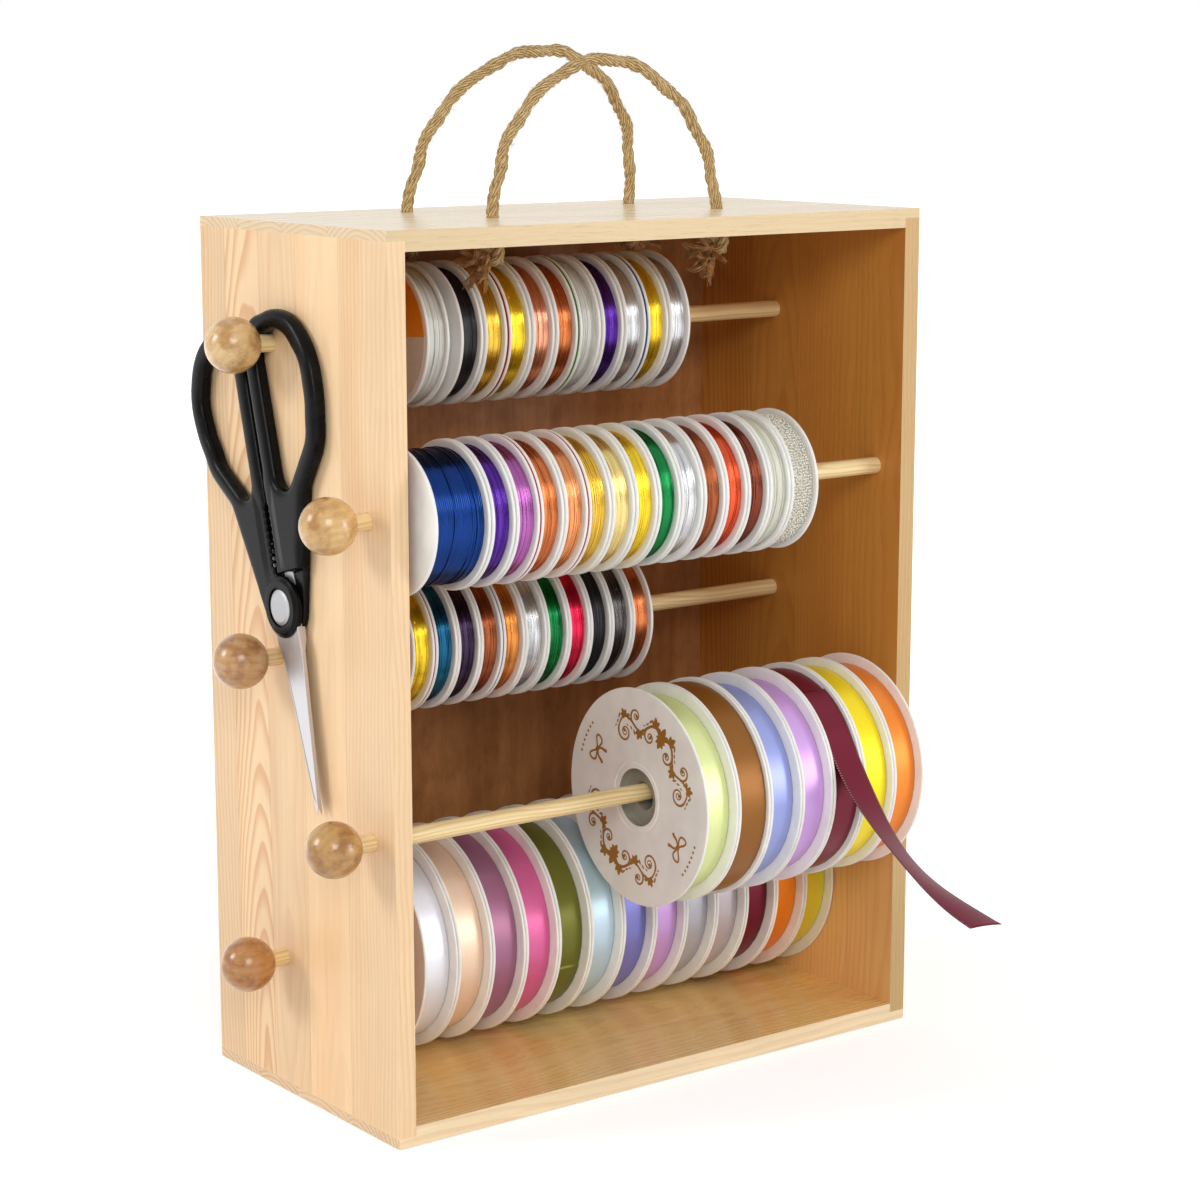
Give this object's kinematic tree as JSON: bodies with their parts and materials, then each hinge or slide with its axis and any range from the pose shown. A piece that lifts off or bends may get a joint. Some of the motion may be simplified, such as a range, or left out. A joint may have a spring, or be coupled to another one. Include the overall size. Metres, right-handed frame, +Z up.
{
  "type": "ribbon spool dispenser",
  "caption": "Open-front wooden box with pull-out dowels that carry reels of ribbon and craft wire, rope carrying handles, and scissors hung on a knob.",
  "frame": {"origin": "middle of the underside of the box", "axes": "+X along the dowels to the right, away from the knobs; the open front faces -Y; +Z up"},
  "size_m": [0.3432, 0.2826, 0.4765],
  "materials": {
    "pine_board": "clear satin lacquer over sanded pine",
    "back_board": "sealed brown plywood",
    "brad_steel": "bright",
    "dowel": "sanded pine dowel",
    "knob_wood": "polished beech",
    "jute_rope": "twisted jute",
    "scissors_plastic": "satin black",
    "blade_steel": "ground stainless",
    "pivot_cap": "satin",
    "satin_lime": "satin ribbon on a white card reel",
    "satin_brown_gold": "satin ribbon on a white card reel",
    "satin_periwinkle": "satin ribbon on a white card reel",
    "satin_lilac": "satin ribbon on a white card reel",
    "satin_burgundy": "satin ribbon on a white card reel",
    "satin_yellow": "satin ribbon on a white card reel",
    "satin_orange": "satin ribbon on a white card reel",
    "satin_white": "satin ribbon on a white card reel",
    "satin_cream": "satin ribbon on a white card reel",
    "satin_mauve": "satin ribbon on a white card reel",
    "satin_hot_pink": "satin ribbon on a white card reel",
    "satin_olive": "satin ribbon on a white card reel",
    "satin_light_blue": "satin ribbon on a white card reel",
    "satin_light_grey": "satin ribbon on a white card reel",
    "satin_silver_grey": "satin ribbon on a white card reel",
    "cord_clear": "wound craft wire or cord on white plastic reels",
    "wire_gold": "wound craft wire or cord on white plastic reels",
    "wire_copper": "wound craft wire or cord on white plastic reels",
    "wire_silver": "wound craft wire or cord on white plastic reels",
    "wire_navy": "wound craft wire or cord on white plastic reels",
    "wire_purple": "wound craft wire or cord on white plastic reels",
    "pearl_white": "wound craft wire or cord on white plastic reels",
    "wire_teal": "wound craft wire or cord on white plastic reels",
    "wire_black": "wound craft wire or cord on white plastic reels"
  },
  "bodies": {
    "cabinet": {"top_panel": "pine_board", "bottom_panel": "pine_board", "left_side_panel": "pine_board", "right_side_panel": "pine_board", "back_panel": "back_board", "back_panel_brads": "brad_steel", "front_rope_handle": "jute_rope", "rear_rope_handle": "jute_rope", "front_rope_knots": "jute_rope", "rear_rope_knots": "jute_rope", "row_4_ribbon_tail": "satin_burgundy"},
    "pull_rod_1": {"rod_1": "dowel", "knob_1": "knob_wood"},
    "pull_rod_2": {"rod_2": "dowel", "knob_2": "knob_wood"},
    "pull_rod_3": {"rod_3": "dowel", "knob_3": "knob_wood"},
    "pull_rod_4": {"rod_4": "dowel", "knob_4": "knob_wood"},
    "pull_rod_5": {"rod_5": "dowel", "knob_5": "knob_wood"},
    "row_1_wire_spool_1_reel": {"row_1_wire_spool_1": "cord_clear"},
    "row_1_wire_spools_2_to_4_reel": {"row_1_wire_spools_2_to_4": "wire_gold"},
    "row_1_wire_spools_5_to_7_reel": {"row_1_wire_spools_5_to_7": "wire_copper"},
    "row_1_wire_spools_8_to_9_reel": {"row_1_wire_spools_8_to_9": "wire_silver"},
    "row_1_wire_spools_10_to_11_reel": {"row_1_wire_spools_10_to_11": "wire_gold"},
    "row_2_wire_spool_1_reel": {"row_2_wire_spool_1": "wire_navy"},
    "row_2_wire_spools_2_to_4_reel": {"row_2_wire_spools_2_to_4": "wire_purple"},
    "row_2_wire_spools_5_to_7_reel": {"row_2_wire_spools_5_to_7": "wire_gold"},
    "row_2_wire_spools_8_to_10_reel": {"row_2_wire_spools_8_to_10": "wire_silver"},
    "row_2_wire_spools_11_to_13_reel": {"row_2_wire_spools_11_to_13": "wire_copper"},
    "row_2_elastic_and_pearl_spools_reel": {"row_2_elastic_and_pearl_spools": "pearl_white"},
    "row_3_wire_spools_1_to_4_reel": {"row_3_wire_spools_1_to_4": "wire_teal"},
    "row_3_wire_spools_5_to_8_reel": {"row_3_wire_spools_5_to_8": "wire_copper"},
    "row_3_wire_spools_9_to_11_reel": {"row_3_wire_spools_9_to_11": "wire_black"},
    "row_4_ribbon_spool_1_reel": {"row_4_ribbon_spool_1": "satin_lime"},
    "row_4_ribbon_spool_2_reel": {"row_4_ribbon_spool_2": "satin_brown_gold"},
    "row_4_ribbon_spool_3_reel": {"row_4_ribbon_spool_3": "satin_periwinkle"},
    "row_4_ribbon_spool_4_reel": {"row_4_ribbon_spool_4": "satin_lilac"},
    "row_4_ribbon_spool_5_reel": {"row_4_ribbon_spool_5": "satin_burgundy"},
    "row_4_ribbon_spool_6_reel": {"row_4_ribbon_spool_6": "satin_yellow"},
    "row_4_ribbon_spool_7_reel": {"row_4_ribbon_spool_7": "satin_orange"},
    "row_5_ribbon_spool_1_reel": {"row_5_ribbon_spool_1": "satin_white"},
    "row_5_ribbon_spool_2_reel": {"row_5_ribbon_spool_2": "satin_cream"},
    "row_5_ribbon_spool_3_reel": {"row_5_ribbon_spool_3": "satin_mauve"},
    "row_5_ribbon_spool_4_reel": {"row_5_ribbon_spool_4": "satin_hot_pink"},
    "row_5_ribbon_spool_5_reel": {"row_5_ribbon_spool_5": "satin_olive"},
    "row_5_ribbon_spool_6_reel": {"row_5_ribbon_spool_6": "satin_light_blue"},
    "row_5_ribbon_spool_7_reel": {"row_5_ribbon_spool_7": "satin_periwinkle"},
    "row_5_ribbon_spool_8_reel": {"row_5_ribbon_spool_8": "satin_lilac"},
    "row_5_ribbon_spool_9_reel": {"row_5_ribbon_spool_9": "satin_light_grey"},
    "row_5_ribbon_spool_10_reel": {"row_5_ribbon_spool_10": "satin_silver_grey"},
    "row_5_ribbon_spool_11_reel": {"row_5_ribbon_spool_11": "satin_burgundy"},
    "row_5_ribbon_spool_12_reel": {"row_5_ribbon_spool_12": "satin_orange"},
    "row_5_ribbon_spool_13_reel": {"row_5_ribbon_spool_13": "satin_yellow"},
    "scissors_hung_half": {"scissors_hung_handle": "scissors_plastic", "scissors_hung_blade": "blade_steel", "scissors_pivot": "pivot_cap"},
    "scissors_free_half": {"scissors_free_handle": "scissors_plastic", "scissors_free_blade": "blade_steel"}
  },
  "joints": [
    {"name": "rod_1_pull", "type": "slide", "parent": "cabinet", "child": "pull_rod_1", "axis": [-1, 0, 0], "range_m": [0, 0.3]},
    {"name": "rod_2_pull", "type": "slide", "parent": "cabinet", "child": "pull_rod_2", "axis": [-1, 0, 0], "range_m": [0, 0.3]},
    {"name": "rod_3_pull", "type": "slide", "parent": "cabinet", "child": "pull_rod_3", "axis": [-1, 0, 0], "range_m": [0, 0.3]},
    {"name": "rod_4_pull", "type": "slide", "parent": "cabinet", "child": "pull_rod_4", "axis": [-1, 0, 0], "range_m": [0, 0.3]},
    {"name": "rod_5_pull", "type": "slide", "parent": "cabinet", "child": "pull_rod_5", "axis": [-1, 0, 0], "range_m": [0, 0.3]},
    {"name": "row_1_wire_spool_1_spin", "type": "hinge", "parent": "cabinet", "child": "row_1_wire_spool_1_reel", "pos_m": [0, 0.01629, 0.3463], "axis": [1, 0, 0], "continuous": true},
    {"name": "row_1_wire_spools_2_to_4_spin", "type": "hinge", "parent": "cabinet", "child": "row_1_wire_spools_2_to_4_reel", "pos_m": [0, 0.01629, 0.3463], "axis": [1, 0, 0], "continuous": true},
    {"name": "row_1_wire_spools_5_to_7_spin", "type": "hinge", "parent": "cabinet", "child": "row_1_wire_spools_5_to_7_reel", "pos_m": [0, 0.01629, 0.3463], "axis": [1, 0, 0], "continuous": true},
    {"name": "row_1_wire_spools_8_to_9_spin", "type": "hinge", "parent": "cabinet", "child": "row_1_wire_spools_8_to_9_reel", "pos_m": [0, 0.01629, 0.3463], "axis": [1, 0, 0], "continuous": true},
    {"name": "row_1_wire_spools_10_to_11_spin", "type": "hinge", "parent": "cabinet", "child": "row_1_wire_spools_10_to_11_reel", "pos_m": [0, 0.01629, 0.3463], "axis": [1, 0, 0], "continuous": true},
    {"name": "row_2_wire_spool_1_spin", "type": "hinge", "parent": "cabinet", "child": "row_2_wire_spool_1_reel", "pos_m": [0, -0.05949, 0.2758], "axis": [1, 0, 0], "continuous": true},
    {"name": "row_2_wire_spools_2_to_4_spin", "type": "hinge", "parent": "cabinet", "child": "row_2_wire_spools_2_to_4_reel", "pos_m": [0, -0.05949, 0.2758], "axis": [1, 0, 0], "continuous": true},
    {"name": "row_2_wire_spools_5_to_7_spin", "type": "hinge", "parent": "cabinet", "child": "row_2_wire_spools_5_to_7_reel", "pos_m": [0, -0.05949, 0.2758], "axis": [1, 0, 0], "continuous": true},
    {"name": "row_2_wire_spools_8_to_10_spin", "type": "hinge", "parent": "cabinet", "child": "row_2_wire_spools_8_to_10_reel", "pos_m": [0, -0.05949, 0.2758], "axis": [1, 0, 0], "continuous": true},
    {"name": "row_2_wire_spools_11_to_13_spin", "type": "hinge", "parent": "cabinet", "child": "row_2_wire_spools_11_to_13_reel", "pos_m": [0, -0.05949, 0.2758], "axis": [1, 0, 0], "continuous": true},
    {"name": "row_2_elastic_and_pearl_spools_spin", "type": "hinge", "parent": "cabinet", "child": "row_2_elastic_and_pearl_spools_reel", "pos_m": [0, -0.05949, 0.2758], "axis": [1, 0, 0], "continuous": true},
    {"name": "row_3_wire_spools_1_to_4_spin", "type": "hinge", "parent": "cabinet", "child": "row_3_wire_spools_1_to_4_reel", "pos_m": [0, 0.01629, 0.2053], "axis": [1, 0, 0], "continuous": true},
    {"name": "row_3_wire_spools_5_to_8_spin", "type": "hinge", "parent": "cabinet", "child": "row_3_wire_spools_5_to_8_reel", "pos_m": [0, 0.01629, 0.2053], "axis": [1, 0, 0], "continuous": true},
    {"name": "row_3_wire_spools_9_to_11_spin", "type": "hinge", "parent": "cabinet", "child": "row_3_wire_spools_9_to_11_reel", "pos_m": [0, 0.01629, 0.2053], "axis": [1, 0, 0], "continuous": true},
    {"name": "row_4_ribbon_spool_1_spin", "type": "hinge", "parent": "cabinet", "child": "row_4_ribbon_spool_1_reel", "pos_m": [0, -0.05949, 0.1333], "axis": [1, 0, 0], "continuous": true},
    {"name": "row_4_ribbon_spool_2_spin", "type": "hinge", "parent": "cabinet", "child": "row_4_ribbon_spool_2_reel", "pos_m": [0, -0.05949, 0.1333], "axis": [1, 0, 0], "continuous": true},
    {"name": "row_4_ribbon_spool_3_spin", "type": "hinge", "parent": "cabinet", "child": "row_4_ribbon_spool_3_reel", "pos_m": [0, -0.05949, 0.1333], "axis": [1, 0, 0], "continuous": true},
    {"name": "row_4_ribbon_spool_4_spin", "type": "hinge", "parent": "cabinet", "child": "row_4_ribbon_spool_4_reel", "pos_m": [0, -0.05949, 0.1333], "axis": [1, 0, 0], "continuous": true},
    {"name": "row_4_ribbon_spool_5_spin", "type": "hinge", "parent": "cabinet", "child": "row_4_ribbon_spool_5_reel", "pos_m": [0, -0.05949, 0.1333], "axis": [1, 0, 0], "continuous": true},
    {"name": "row_4_ribbon_spool_6_spin", "type": "hinge", "parent": "cabinet", "child": "row_4_ribbon_spool_6_reel", "pos_m": [0, -0.05949, 0.1333], "axis": [1, 0, 0], "continuous": true},
    {"name": "row_4_ribbon_spool_7_spin", "type": "hinge", "parent": "cabinet", "child": "row_4_ribbon_spool_7_reel", "pos_m": [0, -0.05949, 0.1333], "axis": [1, 0, 0], "continuous": true},
    {"name": "row_5_ribbon_spool_1_spin", "type": "hinge", "parent": "cabinet", "child": "row_5_ribbon_spool_1_reel", "pos_m": [0, 0.01629, 0.0628], "axis": [1, 0, 0], "continuous": true},
    {"name": "row_5_ribbon_spool_2_spin", "type": "hinge", "parent": "cabinet", "child": "row_5_ribbon_spool_2_reel", "pos_m": [0, 0.01629, 0.0628], "axis": [1, 0, 0], "continuous": true},
    {"name": "row_5_ribbon_spool_3_spin", "type": "hinge", "parent": "cabinet", "child": "row_5_ribbon_spool_3_reel", "pos_m": [0, 0.01629, 0.0628], "axis": [1, 0, 0], "continuous": true},
    {"name": "row_5_ribbon_spool_4_spin", "type": "hinge", "parent": "cabinet", "child": "row_5_ribbon_spool_4_reel", "pos_m": [0, 0.01629, 0.0628], "axis": [1, 0, 0], "continuous": true},
    {"name": "row_5_ribbon_spool_5_spin", "type": "hinge", "parent": "cabinet", "child": "row_5_ribbon_spool_5_reel", "pos_m": [0, 0.01629, 0.0628], "axis": [1, 0, 0], "continuous": true},
    {"name": "row_5_ribbon_spool_6_spin", "type": "hinge", "parent": "cabinet", "child": "row_5_ribbon_spool_6_reel", "pos_m": [0, 0.01629, 0.0628], "axis": [1, 0, 0], "continuous": true},
    {"name": "row_5_ribbon_spool_7_spin", "type": "hinge", "parent": "cabinet", "child": "row_5_ribbon_spool_7_reel", "pos_m": [0, 0.01629, 0.0628], "axis": [1, 0, 0], "continuous": true},
    {"name": "row_5_ribbon_spool_8_spin", "type": "hinge", "parent": "cabinet", "child": "row_5_ribbon_spool_8_reel", "pos_m": [0, 0.01629, 0.0628], "axis": [1, 0, 0], "continuous": true},
    {"name": "row_5_ribbon_spool_9_spin", "type": "hinge", "parent": "cabinet", "child": "row_5_ribbon_spool_9_reel", "pos_m": [0, 0.01629, 0.0628], "axis": [1, 0, 0], "continuous": true},
    {"name": "row_5_ribbon_spool_10_spin", "type": "hinge", "parent": "cabinet", "child": "row_5_ribbon_spool_10_reel", "pos_m": [0, 0.01629, 0.0628], "axis": [1, 0, 0], "continuous": true},
    {"name": "row_5_ribbon_spool_11_spin", "type": "hinge", "parent": "cabinet", "child": "row_5_ribbon_spool_11_reel", "pos_m": [0, 0.01629, 0.0628], "axis": [1, 0, 0], "continuous": true},
    {"name": "row_5_ribbon_spool_12_spin", "type": "hinge", "parent": "cabinet", "child": "row_5_ribbon_spool_12_reel", "pos_m": [0, 0.01629, 0.0628], "axis": [1, 0, 0], "continuous": true},
    {"name": "row_5_ribbon_spool_13_spin", "type": "hinge", "parent": "cabinet", "child": "row_5_ribbon_spool_13_reel", "pos_m": [0, 0.01629, 0.0628], "axis": [1, 0, 0], "continuous": true},
    {"name": "scissors_swing", "type": "hinge", "parent": "cabinet", "child": "scissors_hung_half", "pos_m": [0, 0.01629, 0.347], "axis": [1, 0, 0], "range_deg": [-7, 2.5]},
    {"name": "scissors_open", "type": "hinge", "parent": "scissors_hung_half", "child": "scissors_free_half", "pos_m": [0, 0.00175, 0.23117], "axis": [-1, 0, 0], "range_deg": [0, 45]}
  ]
}
